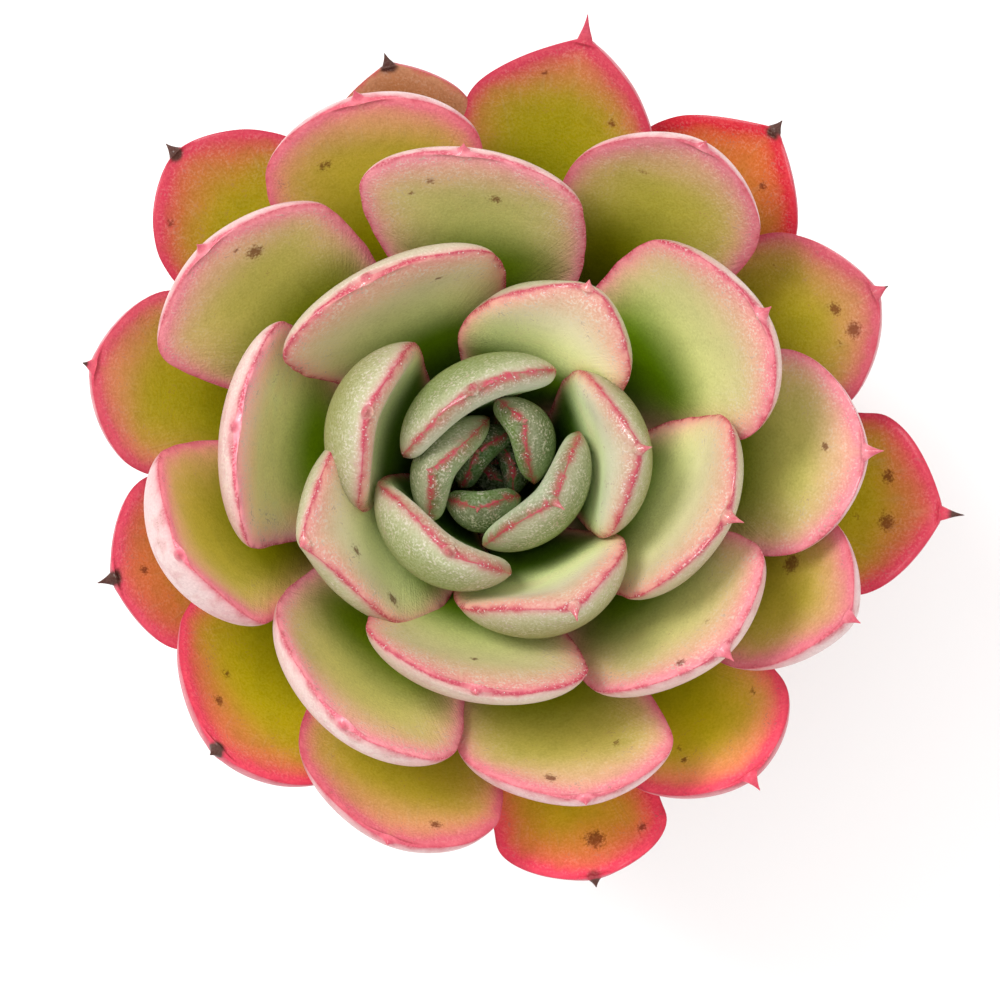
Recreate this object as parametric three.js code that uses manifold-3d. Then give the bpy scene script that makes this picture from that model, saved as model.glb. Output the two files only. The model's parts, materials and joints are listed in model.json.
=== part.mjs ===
// A potted strawberry ice echeveria: a rosette of thick, cupped leaves on a short stem, in a plain clay pot of soil.
// Millimetres, +Z up, with the origin at the middle of the pot's base.
import * as THREE from "three";
import { mergeVertices } from "three/addons/utils/BufferGeometryUtils.js";
import Module from "manifold-3d";

const wasm = await Module();
wasm.setup();

// Pot
const POT_HEIGHT = 62;
const POT_FOOT_RADIUS = 26;
const POT_RIM_RADIUS = 38;
const POT_WALL = 4;
const POT_FLOOR = 5;
const BAND_HEIGHT = 14;
const BAND_STEP = 2.2;
const DRAIN_RADIUS = 4.5;
const EDGE_ROUND = 1;
const ROUND_SIDES = 40;

// Soil, and the clearance between pieces that rest on each other
const SOIL_LEVEL = POT_HEIGHT - 6;
const SOIL_DOME = 1.5;
const SEAT_GAP = 0.3;

// Stem: how far it is rooted, where its lowest leaf sits above the soil, its rise from leaf to leaf, and its taper
const ROOTED_DEPTH = 20;
const LOWEST_LEAF = 9;
const LEAF_RISE = 0.55;
const CROWN_RADIUS = 0.8;
const STEM_SWELL = 4.9;
const SWELL_LEAVES = 7.5;
const STEM_SIDES = 16;
const STEM_RING_LEAVES = 5;

// The rosette's axis stands off the pot's middle, so that its uneven spread of leaves is centred over the pot.
const PLANT_X = -3.3;
const PLANT_Y = -1.9;

// A leaf's order counts outwards: the negative orders are at the heart, and the oldest leaf has order 38.
const YOUNGEST = -5;
const OLDEST = 38;
const LAST_BUD_LEAF = -3;

// Leaf form shared by all: how late along its length it curls, how far its tip bends back (degrees), the tip's
// start, the width of the dried point as a share of the leaf's, and the roundness of its section underneath
const CURL_POWER = 1.7;
const TIP_BENDS_BACK = 30;
const TIP_START = 0.8;
const POINT_WIDTH = 0.055;
const BELLY_POWER = 0.62;

// Mesh of a leaf: sections along it, points around each section, and steps in which its midrib is walked
const LEAF_SECTIONS = 9;
const SECTION_POINTS = 12;
const MIDRIB_STEPS = 80;

// Leaf by leaf, from the youngest outwards, as seen on the plant: the direction it grows in and the angle at which
// it leaves the stem (degrees, from +X and from level), its curl upwards along its length (degrees), its length,
// width and sideways lean (mm), its roll onto its side (degrees), the share of its length at which it is widest, the
// power that rounds its end off from there, and its dried point's length (mm) and bend outwards (degrees).
const LEAVES = [
  [100, 86, 20, 3.5, 4, 0, 0, 0.7, 0.7, 1, 0],
  [240, 87, 20, 6, 6, 0, 0, 0.7, 0.7, 1, 0],
  [15, 87, 16, 8.5, 7, 0, 0, 0.7, 0.7, 1, 0],
  [139, 86, 12, 12.5, 9, 0, 0, 0.7, 0.7, 1, 0],
  [256.5, 78, 21, 17.8, 8.6, -1, 16, 0.69, 0.75, 1, 20],
  [23, 84, 10, 19.3, 10.1, 3.6, 1, 0.67, 0.75, 0.9, 20],
  [159.5, 83, 3, 21.9, 13.2, 2.9, -9, 0.63, 0.8, 1, 20],
  [321.5, 80, 12, 25.1, 16.9, 1, -2, 0.66, 0.85, 2, 50],
  [125, 73, 24, 26, 19.6, -2.9, -6, 0.8, 0.4, 1, 20],
  [216.5, 64, 47, 29.9, 18, 4.4, 20, 0.65, 0.55, 1.6, -20],
  [11.5, 66, 10, 29.9, 18.9, -1.2, -3, 0.69, 0.8, 1.6, 40],
  [164, 53, 53, 33.2, 20, -1.9, -2, 0.66, 0.7, 1.4, -30],
  [281.5, 60, 30, 33.5, 20, 5.3, 11, 0.65, 0.8, 2, 50],
  [77.5, 63, 0, 34.4, 19.7, -5.5, -15, 0.62, 0.6, 1, 20],
  [219, 59, 11, 34.7, 23.3, -6.9, -24, 0.62, 0.95, 0.8, 0],
  [341.5, 46, 28, 35.8, 23.1, 2.9, -9, 0.76, 0.65, 2.2, 40],
  [115.5, 43, 38, 35.2, 26.4, 4, 2, 0.87, 0.4, 0.8, 0],
  [255.5, 48, 35, 37.4, 25, 4, 4, 0.82, 0.4, 0.8, 0],
  [41.5, 35, 35, 40.7, 24.9, -6.8, -17, 0.77, 0.55, 1.8, 10],
  [175, 31, 56, 38.6, 25.5, -2, -3, 0.87, 0.4, 0.8, 0],
  [314, 39, 29, 40.3, 24.5, 4, -2, 0.78, 0.65, 2, 30],
  [87.5, 31, 29, 39.4, 25.5, 5.3, -4, 0.85, 0.45, 1.2, 10],
  [232.5, 32, 48, 42.8, 25.9, 3.9, -2, 0.78, 0.55, 0.8, 0],
  [4, 28, 17, 43.2, 23.8, -1.1, -8, 0.75, 0.65, 2.4, 0],
  [141, 23, 32, 43.4, 25.2, 1.7, -11, 0.84, 0.6, 1.4, -10],
  [276, 29, 32, 42.7, 24.3, 6, -1, 0.8, 0.65, 1, 10],
  [59.5, 26, 30, 46.6, 22.8, -1.6, 7, 0.78, 0.6, 1, 0],
  [191, 25, 66, 49, 23.1, 2.8, 21, 0.78, 0.8, 0.8, 0],
  [333, 22, 43, 47.5, 20.2, 3, -5, 0.74, 0.8, 2.2, 10],
  [116, 17, 38, 45.6, 26, -4.2, -21, 0.8, 0.5, 1.6, 0],
  [244, 18, 42, 45.5, 24.5, 7.5, 7, 0.8, 0.55, 0.8, 0],
  [28.5, 16, 26, 46.5, 22.7, -3, -11, 0.76, 0.75, 1.8, 0],
  [165, 12, 35, 46.6, 21.5, 0.6, 6, 0.8, 0.7, 1.6, -10],
  [304.5, 15, 41, 46.2, 21.3, 3.9, 2, 0.79, 0.65, 2.6, 0],
  [84, 15, 24, 48.2, 23.5, -4.9, -19, 0.75, 0.95, 3.4, 0],
  [217.5, 16, 44, 46.8, 26, 6, 8, 0.77, 0.65, 1.4, 0],
  [355.5, 12, 17, 48.2, 21.3, -1.1, -9, 0.8, 0.9, 2.8, 0],
  [135.5, 7, 6, 47.6, 21.9, 0, 2, 0.77, 0.75, 1.6, 0],
  [280, 13, 21, 45.7, 19.6, 2.9, 2, 0.87, 0.65, 1.2, 0],
  [53, 13, 18, 47.5, 23, -2.1, -16, 0.77, 1, 1.6, 0],
  [195, 15, 26, 44.3, 21, 0.8, -3, 0.83, 0.75, 2.2, 0],
  [337, 7, 6, 39.5, 17.5, 0, 0, 0.81, 0.85, 1, 0],
  [108.5, 12, 26, 45.9, 17.8, -2.9, -14, 0.83, 0.95, 1.6, 0],
  [238, 6, 6, 37, 17.5, 0, 0, 0.81, 0.85, 1, 0],
];

const radians = THREE.MathUtils.degToRad;
const smooth = THREE.MathUtils.smoothstep;
const clamp = THREE.MathUtils.clamp;

function leafRow(order) {
  const [direction, rise, curl, length, width, lean, roll, widest, endPower, pointLength, pointBend] =
    LEAVES[order - YOUNGEST];
  return { direction, rise, curl, length, width, lean, roll, widest, endPower, pointLength, pointBend };
}

// Growth rules: each gives one measure of a leaf from its order. Heights, radii and depths are in mm, and the other
// measures are shares of the leaf's own length or width.
const baseHeight = (order) => LOWEST_LEAF + LEAF_RISE * (OLDEST - order);
const baseRadius = (order) => CROWN_RADIUS + STEM_SWELL * (1 - Math.exp(-(order - YOUNGEST) / SWELL_LEAVES));
const cushionHeight = (order) => 0.5 + 2 * (1 - smooth(order, 0, 14));
const bodyDepth = (order) => 2.6 + 3.5 * (1 - Math.exp(-Math.max(0, order + 3) / 4)) - 0.07 * Math.max(0, order - 16);
const baseWidth = (order) => 0.23 + 0.16 * Math.exp(-(order + 3) / 6);
const dishDepth = (order) => 0.14 + 0.08 * Math.exp(-(order + 3) / 8);
const backwardTip = (order) => TIP_BENDS_BACK * (1 - 0.6 * smooth(order, 10, 20));

// A leaf's width at a share s of its length, as a share of its greatest width: widening from its base, then rounded
// off to its tip.
function widthShare(order, s) {
  const base = baseWidth(order);
  const { widest, endPower } = leafRow(order);
  if (s < widest) return base + (1 - base) * Math.sin((Math.PI / 2) * (s / widest)) ** 1.6;
  return (1 - ((s - widest) / (1 - widest)) ** 2.2) ** endPower;
}

// The midrib from the stem to the tip, in the leaf's own upright plane: points with their distance out, height and
// slope.
function midrib(order) {
  const { rise, curl, length } = leafRow(order);
  const slopeAt = (s) => {
    const back = clamp((s - TIP_START) / (1 - TIP_START), 0, 1) ** 1.5;
    return radians(rise + curl * s ** CURL_POWER - backwardTip(order) * back);
  };
  const points = [{ out: baseRadius(order), up: baseHeight(order), slope: slopeAt(0) }];
  for (let i = 1; i <= MIDRIB_STEPS; i++) {
    const slope = slopeAt(i / MIDRIB_STEPS);
    const last = points[i - 1];
    const middle = (slope + last.slope) / 2;
    const step = length / MIDRIB_STEPS;
    points.push({ out: last.out + step * Math.cos(middle), up: last.up + step * Math.sin(middle), slope });
  }
  return points;
}

function midribAt(points, s) {
  const place = s * MIDRIB_STEPS;
  const i = Math.min(Math.floor(place), MIDRIB_STEPS - 1);
  const mix = (key) => THREE.MathUtils.lerp(points[i][key], points[i + 1][key], place - i);
  return { out: mix("out"), up: mix("up"), slope: mix("slope") };
}

// One section across a leaf, as [sideways, along the face's normal] pairs: the dished upper face with a cushion
// inside each margin, then the bulging back, all turned by the leaf's roll.
function leafSection(order, s, grow) {
  const { width, pointLength, roll } = leafRow(order);
  const point = POINT_WIDTH * width * Math.exp(-(1 - s) / (0.02 + 0.02 * pointLength));
  const half = (width / 2) * widthShare(order, s) + point + grow;
  const body = bodyDepth(order) - 0.35 * cushionHeight(order);
  const filled = 0.3 + 0.7 * Math.sin((Math.PI / 2) * Math.min(1, s / 0.7)) ** 2.2;
  const thinned = Math.max(0.22, Math.sqrt(1 - Math.max(0, (s - 0.7) / 0.3) ** 2));
  const depth = Math.min(body * filled * thinned, 1.5 * half);
  const dish = dishDepth(order) * half * Math.min(1, s / 0.5);
  const cushion = cushionHeight(order) * smooth(s, 0.35, 0.8);
  const turn = radians(roll) * smooth(s, 0, 0.7);
  const section = [];
  for (let i = 0; i < SECTION_POINTS; i++) {
    const across = Math.cos((2 * Math.PI * i) / SECTION_POINTS);
    const inside = half * (1 - Math.abs(across));
    const edge = Math.abs(across) > 0.99;
    const raised = cushion * (1 - Math.exp(-inside / 1.2)) * Math.exp(-inside / 7) + (edge ? 0 : grow);
    const face = dish * (1.5 * across ** 2 - 0.5 * across ** 4) + raised;
    const back = dish - (dish + depth) * (1 - across ** 2) ** BELLY_POWER - grow;
    const side = half * across;
    const off = i <= SECTION_POINTS / 2 ? face : back;
    section.push([side * Math.cos(turn) - off * Math.sin(turn), side * Math.sin(turn) + off * Math.cos(turn)]);
  }
  return section;
}

// Joins rings of points, each with SECTION_POINTS points, into one closed surface with a fan at each end.
function closedRings(rings, first, last) {
  const positions = [...rings.flat(), first, last].flat();
  const count = SECTION_POINTS;
  const triangles = [];
  for (let ring = 0; ring < rings.length - 1; ring++) {
    for (let i = 0; i < count; i++) {
      const a = ring * count + i;
      const b = ring * count + ((i + 1) % count);
      triangles.push(a, b, b + count, a, b + count, a + count);
    }
  }
  const start = rings.length * count;
  const lastRing = start - count;
  for (let i = 0; i < count; i++) {
    triangles.push(start, (i + 1) % count, i);
    triangles.push(start + 1, lastRing + i, lastRing + ((i + 1) % count));
  }
  return { positions, triangles };
}

const meanPoint = (ring) => [0, 1, 2].map((axis) => ring.reduce((sum, p) => sum + p[axis], 0) / ring.length);

// A whole leaf with its dried point, as a solid in the plant's frame. Grown by the seat gap, it is the tool that cuts
// the next leaf clear of it.
function leafSolid(order, grow = 0) {
  const { direction, width, lean, pointLength, pointBend } = leafRow(order);
  const path = midrib(order);
  const rings = [];
  for (let i = 0; i < LEAF_SECTIONS; i++) {
    const s = 0.99 * (1 - (1 - i / (LEAF_SECTIONS - 1)) ** CURL_POWER);
    const { out, up, slope } = midribAt(path, s);
    rings.push(
      leafSection(order, s, grow).map(([side, off]) => [
        out - Math.sin(slope) * off,
        side + lean * s ** 1.5,
        up + Math.cos(slope) * off,
      ]),
    );
  }
  const first = meanPoint(rings[0]);
  const root = meanPoint(rings[LEAF_SECTIONS - 1]);
  const endSlope = path[MIDRIB_STEPS].slope;
  const along = (slope, distance, from) => [
    from[0] + distance * Math.cos(slope),
    from[1],
    from[2] + distance * Math.sin(slope),
  ];
  const halfwaySlope = endSlope - radians(pointBend) / 2;
  const halfway = along(halfwaySlope, pointLength / 2, root);
  const neck = 0.4 * POINT_WIDTH * width + 0.12;
  const neckRing = [];
  for (let i = 0; i < SECTION_POINTS; i++) {
    const turn = (2 * Math.PI * i) / SECTION_POINTS;
    const off = 0.8 * neck * Math.sin(turn);
    neckRing.push([
      halfway[0] - Math.sin(halfwaySlope) * off,
      halfway[1] + neck * Math.cos(turn),
      halfway[2] + Math.cos(halfwaySlope) * off,
    ]);
  }
  rings.push(neckRing);
  const tip = along(endSlope - radians(pointBend), pointLength / 2, halfway);
  const { positions, triangles } = closedRings(rings, first, tip);
  return asSolid(positions, triangles).rotate([0, 0, direction]);
}

function asSolid(positions, triangles) {
  const vertProperties = new Float32Array(positions);
  const triVerts = new Uint32Array(triangles);
  return new wasm.Manifold(new wasm.Mesh({ numProp: 3, vertProperties, triVerts }));
}

// A round body from a closed profile of [radius, height] pairs.
function turned(profile, sides) {
  const points = profile.map(([radius, height]) => new THREE.Vector2(radius, height));
  const lathe = new THREE.LatheGeometry(points, sides).rotateX(Math.PI / 2);
  lathe.deleteAttribute("normal");
  lathe.deleteAttribute("uv");
  const { attributes, index } = mergeVertices(lathe, 1e-4);
  return asSolid(attributes.position.array, index.array);
}

const largestBody = (solid) => solid.decompose().sort((a, b) => b.volume() - a.volume())[0];

// Each leaf outside the bud, cut clear of every younger piece that it would cross.
function rosette() {
  const bud = centreBud();
  const pieces = [{ name: "centre_bud", solid: bud.solid, cutter: bud.cutter }];
  for (let order = LAST_BUD_LEAF + 1; order <= OLDEST; order++) {
    let solid = leafSolid(order);
    for (const younger of pieces) {
      if (solid.intersect(younger.solid).volume() > 0) solid = solid.subtract(younger.cutter);
    }
    const name = `leaf_${String(order - LAST_BUD_LEAF).padStart(2, "0")}`;
    pieces.push({ name, solid: largestBody(solid), cutter: leafSolid(order, SEAT_GAP) });
  }
  return pieces;
}

// The youngest leaves, folded over each other on the growing tip and still one body with it.
function centreBud() {
  const foot = baseHeight(LAST_BUD_LEAF) - 0.4;
  const core = (grow) =>
    turned(
      [
        [0, foot - grow],
        [2.2 + grow, foot - grow],
        [2.2 + grow, foot + 2.5],
        [0.5 + grow, foot + 6],
        [0, foot + 6.5 + grow],
      ],
      SECTION_POINTS,
    );
  let solid = core(0);
  let cutter = core(SEAT_GAP);
  for (let order = YOUNGEST; order <= LAST_BUD_LEAF; order++) {
    solid = solid.add(leafSolid(order));
    cutter = cutter.add(leafSolid(order, SEAT_GAP));
  }
  return { solid: largestBody(solid), cutter };
}

// The stem narrows upwards with the leaf bases around it, and stands in a plain hole in the soil.
function stem() {
  const foot = baseRadius(OLDEST) - SEAT_GAP;
  const profile = [
    [0, -ROOTED_DEPTH],
    [foot, -ROOTED_DEPTH],
    [foot, baseHeight(OLDEST)],
  ];
  const top = baseHeight(LAST_BUD_LEAF) - 1;
  for (let order = OLDEST - STEM_RING_LEAVES; baseHeight(order) < top; order -= STEM_RING_LEAVES) {
    profile.push([baseRadius(order - 2) - SEAT_GAP, baseHeight(order)]);
  }
  profile.push([0, top]);
  return turned(profile, STEM_SIDES);
}

// The pot's profile, round from the drain hole's lower edge: foot, tapered side, rim band, and back down inside.
const sideRadius = (height) => POT_FOOT_RADIUS + (POT_RIM_RADIUS - BAND_STEP - POT_FOOT_RADIUS) * (height / POT_HEIGHT);
const innerRadius = (height) => sideRadius(height) - POT_WALL + 0.5;

function pot() {
  const bandFoot = POT_HEIGHT - BAND_HEIGHT;
  return turned(
    [
      [DRAIN_RADIUS, 0],
      [POT_FOOT_RADIUS - EDGE_ROUND, 0],
      [sideRadius(EDGE_ROUND), EDGE_ROUND],
      [sideRadius(bandFoot), bandFoot],
      [POT_RIM_RADIUS - EDGE_ROUND, bandFoot],
      [POT_RIM_RADIUS, bandFoot + EDGE_ROUND],
      [POT_RIM_RADIUS, POT_HEIGHT - EDGE_ROUND],
      [POT_RIM_RADIUS - EDGE_ROUND, POT_HEIGHT],
      [innerRadius(POT_HEIGHT) + EDGE_ROUND, POT_HEIGHT],
      [innerRadius(POT_HEIGHT - EDGE_ROUND), POT_HEIGHT - EDGE_ROUND],
      [innerRadius(POT_FLOOR), POT_FLOOR],
      [DRAIN_RADIUS, POT_FLOOR],
      [DRAIN_RADIUS, 0],
    ],
    ROUND_SIDES,
  );
}

// Potting soil fills the pot to just below its rim, a little heaped, with a plain hole where the stem stands.
function soil() {
  const low = POT_FLOOR + SEAT_GAP;
  const rise = (share) => SOIL_LEVEL - SOIL_DOME * share ** 2;
  const edge = innerRadius(SOIL_LEVEL - SOIL_DOME) - SEAT_GAP;
  const body = turned(
    [
      [0, low],
      [innerRadius(low) - SEAT_GAP, low],
      [edge, rise(1)],
      [edge * 0.7, rise(0.7)],
      [edge * 0.4, rise(0.4)],
      [0, rise(0)],
    ],
    ROUND_SIDES,
  );
  const hole = baseRadius(OLDEST);
  const holeFoot = SOIL_LEVEL - ROOTED_DEPTH - SEAT_GAP;
  const plug = turned(
    [
      [0, holeFoot],
      [hole, holeFoot],
      [hole, POT_HEIGHT],
      [0, POT_HEIGHT],
    ],
    STEM_SIDES,
  );
  return body.subtract(plug.translate([PLANT_X, PLANT_Y, 0]));
}

// Finishes
const finish = (color, roughness) => new THREE.MeshStandardMaterial({ color, roughness, metalness: 0 });
const heartFinish = finish("#8fa886", 0.6);
const innerFinish = finish("#b3bf8c", 0.55);
const middleFinish = finish("#bcc07a", 0.5);
const outerFinish = finish("#c9a95a", 0.5);
const oldFinish = finish("#b0713f", 0.6);
const stemFinish = finish("#8c7a55", 0.8);
const soilFinish = finish("#4a3728", 0.95);
const clayFinish = finish("#b5673f", 0.85);

// The leaf finishes change outwards, in bands of the leaves' numbers.
const LEAF_FINISHES = [
  { upTo: 7, material: heartFinish },
  { upTo: 15, material: innerFinish },
  { upTo: 27, material: middleFinish },
  { upTo: 39, material: outerFinish },
  { upTo: 41, material: oldFinish },
];

function finishOf(name) {
  const number = Number(name.split("_")[1]) || 0;
  return LEAF_FINISHES.find(({ upTo }) => number <= upTo).material;
}

function meshOf(name, solid, material) {
  const { vertProperties, triVerts } = solid.getMesh();
  const geometry = new THREE.BufferGeometry();
  geometry.setAttribute("position", new THREE.BufferAttribute(new Float32Array(vertProperties), 3));
  geometry.setIndex(new THREE.BufferAttribute(new Uint32Array(triVerts), 1));
  geometry.computeVertexNormals();
  const mesh = new THREE.Mesh(geometry, material);
  mesh.name = name;
  return mesh;
}

const plant = new THREE.Group();
plant.position.set(PLANT_X, PLANT_Y, SOIL_LEVEL);
plant.add(meshOf("stem", stem(), stemFinish));
for (const { name, solid } of rosette()) plant.add(meshOf(name, solid, finishOf(name)));

const potted = new THREE.Group();
potted.add(meshOf("pot", pot(), clayFinish), meshOf("soil", soil(), soilFinish), plant);

export default potted;
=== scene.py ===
"""A potted strawberry ice echeveria: the finished leaves, bud, stem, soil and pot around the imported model."""
import json
import math

import bpy
import numpy as np
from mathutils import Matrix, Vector, noise


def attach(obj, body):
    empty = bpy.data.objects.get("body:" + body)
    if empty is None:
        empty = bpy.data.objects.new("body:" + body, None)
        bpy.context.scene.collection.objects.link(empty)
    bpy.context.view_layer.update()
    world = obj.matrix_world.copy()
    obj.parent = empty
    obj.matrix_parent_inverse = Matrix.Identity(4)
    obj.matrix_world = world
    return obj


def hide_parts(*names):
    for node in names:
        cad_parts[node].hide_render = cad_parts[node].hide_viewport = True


bl_info = {
    "name": "Potted strawberry ice echeveria",
    "version": (1, 0, 0),
    "blender": (4, 5, 0),
    "location": "View3D > Sidebar > Echeveria",
    "description": "Builds a potted rosette succulent with cupped leaves and red margins",
    "category": "Add Mesh",
}

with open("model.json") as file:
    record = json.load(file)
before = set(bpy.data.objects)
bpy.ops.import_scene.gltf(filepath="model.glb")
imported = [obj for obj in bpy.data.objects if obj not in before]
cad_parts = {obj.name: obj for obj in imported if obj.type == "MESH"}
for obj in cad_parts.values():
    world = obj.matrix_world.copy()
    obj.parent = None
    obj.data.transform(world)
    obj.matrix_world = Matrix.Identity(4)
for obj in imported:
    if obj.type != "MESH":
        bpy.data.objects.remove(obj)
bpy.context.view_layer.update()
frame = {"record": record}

# Everything below is in millimetres until a mesh is made, in the part's own frame.
MM = 0.001

# How much brighter than a plain white room the studio's lights make an open, level surface
STUDIO_LEVEL = 1.65

# The studio, in metres and watts: the room's own light, one softbox and how far the floor reaches; and the
# camera's sensor (mm) and image (pixels)
ROOM_LIGHT = 1.2
SOFTBOX_PLACE = (-0.55, 0.45, 1.15)
SOFTBOX_AIM = (0, 0, 0.08)
SOFTBOX_SIZE = 0.45
SOFTBOX_POWER = 10
FLOOR_REACH = 3.0
SENSOR_WIDTH = 36
IMAGE_WIDTH = 1000

# How far the plant's axis and the camera stand off the pot's axis, and where the soil is in the pot
PLANT_X = -3.3
PLANT_Y = -1.9
CAMERA_X = PLANT_X + 0.34
CAMERA_Y = PLANT_Y - 3.6
POT_HEIGHT = 62.0
SOIL_LEVEL = POT_HEIGHT - 6
SOIL_DOME = 1.5
ROOTED_DEPTH = 20.0

# The pot's profile
POT_FOOT_RADIUS = 26.0
POT_RIM_RADIUS = 38.0
POT_WALL = 4.0
POT_FLOOR = 5.0
BAND_HEIGHT = 14.0
BAND_STEP = 2.2
DRAIN_RADIUS = 4.5

# How finely the round pieces are divided, and how far the pot's corners are rounded (mm)
POT_SIDES = 168
POT_STEP = 0.9
POT_CORNER = 0.9
SOIL_SIDES = 132
SOIL_RINGS = 52
STEM_SIDES = 56

# Growth of the stem and of the leaves round it, and the relief of the stem's bark
LOWEST_LEAF = 9.0
LEAF_RISE = 0.55
CROWN_RADIUS = 0.8
STEM_SWELL = 4.9
SWELL_LEAVES = 7.5
LEAF_GAP = 0.35
BARK_RELIEF = 0.35
SCAR_RELIEF = 0.25
SCAR_SPACING = 2.2

# A leaf's order counts outwards: the negative orders are at the heart, and the oldest leaf has order 38.
YOUNGEST = -5
OLDEST = 38
LAST_BUD_LEAF = -3
BEADED_LEAVES = 13

# Leaf form shared by all: how late along its length it curls, how far its tip bends back (degrees), the tip's
# start, where the blade ends and the point begins, the point's width as a share of the leaf's, and the
# roundness of its section underneath
CURL_POWER = 1.7
TIP_BENDS_BACK = 30.0
TIP_START = 0.8
BLADE_END = 0.9998
POINT_WIDTH = 0.04
BELLY_POWER = 0.62
# How much a leaf's half width wavers, slowly and quickly, along its margins
MARGIN_WAVE = 0.035
MARGIN_RIPPLE = 0.014

# Leaf by leaf, from the youngest outwards, as seen on the plant: the direction it grows in and the angle at
# which it leaves the stem (degrees, from +X and from level), its curl upwards along its length (degrees),
# its length, width and sideways lean (mm), its roll onto its side (degrees), the share of its length at
# which it is widest, the power that rounds its end off from there, and its point's length (mm) and bend
# outwards (degrees).
LEAVES = [
    (100, 86, 20, 3.5, 4, 0, 0, 0.7, 0.7, 1, 0),
    (240, 87, 20, 6, 6, 0, 0, 0.7, 0.7, 1, 0),
    (15, 87, 16, 8.5, 7, 0, 0, 0.7, 0.7, 1, 0),
    (139, 86, 12, 12.5, 9, 0, 0, 0.7, 0.7, 1, 0),
    (256.5, 78, 21, 17.8, 8.6, -1, 16, 0.69, 0.75, 1, 20),
    (23, 84, 10, 19.3, 10.1, 3.6, 1, 0.67, 0.75, 0.9, 20),
    (159.5, 83, 3, 21.9, 13.2, 2.9, -9, 0.63, 0.8, 1, 20),
    (321.5, 80, 12, 25.1, 16.9, 1, -2, 0.66, 0.85, 2, 50),
    (125, 73, 24, 26, 19.6, -2.9, -6, 0.8, 0.4, 1, 20),
    (216.5, 64, 47, 29.9, 18, 4.4, 20, 0.65, 0.55, 1.6, -20),
    (11.5, 66, 10, 29.9, 18.9, -1.2, -3, 0.69, 0.8, 1.6, 40),
    (164, 53, 53, 33.2, 20, -1.9, -2, 0.66, 0.7, 1.4, -30),
    (281.5, 60, 30, 33.5, 20, 5.3, 11, 0.65, 0.8, 2, 50),
    (77.5, 63, 0, 34.4, 19.7, -5.5, -15, 0.62, 0.6, 1, 20),
    (219, 59, 11, 34.7, 23.3, -6.9, -24, 0.62, 0.95, 0.8, 0),
    (341.5, 46, 28, 35.8, 23.1, 2.9, -9, 0.76, 0.65, 2.2, 40),
    (115.5, 43, 38, 35.2, 26.4, 4, 2, 0.87, 0.4, 0.8, 0),
    (255.5, 48, 35, 37.4, 25, 4, 4, 0.82, 0.4, 0.8, 0),
    (41.5, 35, 35, 40.7, 24.9, -6.8, -17, 0.77, 0.55, 1.8, 10),
    (175, 31, 56, 38.6, 25.5, -2, -3, 0.87, 0.4, 0.8, 0),
    (314, 39, 29, 40.3, 24.5, 4, -2, 0.78, 0.65, 2, 30),
    (87.5, 31, 29, 39.4, 25.5, 5.3, -4, 0.85, 0.45, 1.2, 10),
    (232.5, 32, 48, 42.8, 25.9, 3.9, -2, 0.78, 0.55, 0.8, 0),
    (4, 28, 17, 43.2, 23.8, -1.1, -8, 0.75, 0.65, 2.4, 0),
    (141, 23, 32, 43.4, 25.2, 1.7, -11, 0.84, 0.6, 1.4, -10),
    (276, 29, 32, 42.7, 24.3, 6, -1, 0.8, 0.65, 1, 10),
    (59.5, 26, 30, 46.6, 22.8, -1.6, 7, 0.78, 0.6, 1, 0),
    (191, 25, 66, 49, 23.1, 2.8, 21, 0.78, 0.8, 0.8, 0),
    (333, 22, 43, 47.5, 20.2, 3, -5, 0.74, 0.8, 2.2, 10),
    (116, 17, 38, 45.6, 26, -4.2, -21, 0.8, 0.5, 1.6, 0),
    (244, 18, 42, 45.5, 24.5, 7.5, 7, 0.8, 0.55, 0.8, 0),
    (28.5, 16, 26, 46.5, 22.7, -3, -11, 0.76, 0.75, 1.8, 0),
    (165, 12, 35, 46.6, 21.5, 0.6, 6, 0.8, 0.7, 1.6, -10),
    (304.5, 15, 41, 46.2, 21.3, 3.9, 2, 0.79, 0.65, 2.6, 0),
    (84, 15, 24, 48.2, 23.5, -4.9, -19, 0.75, 0.95, 3.4, 0),
    (217.5, 16, 44, 46.8, 26, 6, 8, 0.77, 0.65, 1.4, 0),
    (355.5, 12, 17, 48.2, 21.3, -1.1, -9, 0.8, 0.9, 2.8, 0),
    (135.5, 7, 6, 47.6, 21.9, 0, 2, 0.77, 0.75, 1.6, 0),
    (280, 13, 21, 45.7, 19.6, 2.9, 2, 0.87, 0.65, 1.2, 0),
    (53, 13, 18, 47.5, 23, -2.1, -16, 0.77, 1, 1.6, 0),
    (195, 15, 26, 44.3, 21, 0.8, -3, 0.83, 0.75, 2.2, 0),
    (337, 7, 6, 39.5, 17.5, 0, 0, 0.81, 0.85, 1, 0),
    (108.5, 12, 26, 45.9, 17.8, -2.9, -14, 0.83, 0.95, 1.6, 0),
    (238, 6, 6, 37, 17.5, 0, 0, 0.81, 0.85, 1, 0),
]

# How far the red has spread in from the margin (mm), where a leaf departs from the rule for its order
FLUSH_SPREAD = {33: 5.5, 34: 15.0, 35: 9.0, 37: 16.0}
# How much of a leaf's point has dried brown
DRIED_POINTS = {26: 0.3, 27: 0.5, 30: 1, 31: 0.7, 32: 1, 33: 0.9, 34: 1, 35: 1, 37: 1}
# Leaves that are turning brown as they die
FADED = {37: 1.0}
# Painted light and shade, leaf by leaf: how much paler or darker a leaf's face is painted than its
# neighbours', for how the light falls on it where it stands in the rosette
PAINTED_LIGHT_BY_LEAF = {
    14: 1.6, 15: 1.08, 16: 0.95, 17: 1.2, 20: 1.08, 21: 0.8, 22: 1.28,
    26: 0.8, 28: 1.45, 29: 0.82, 30: 1.22, 32: 0.78, 33: 1.35, 38: 0.75,
}
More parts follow.
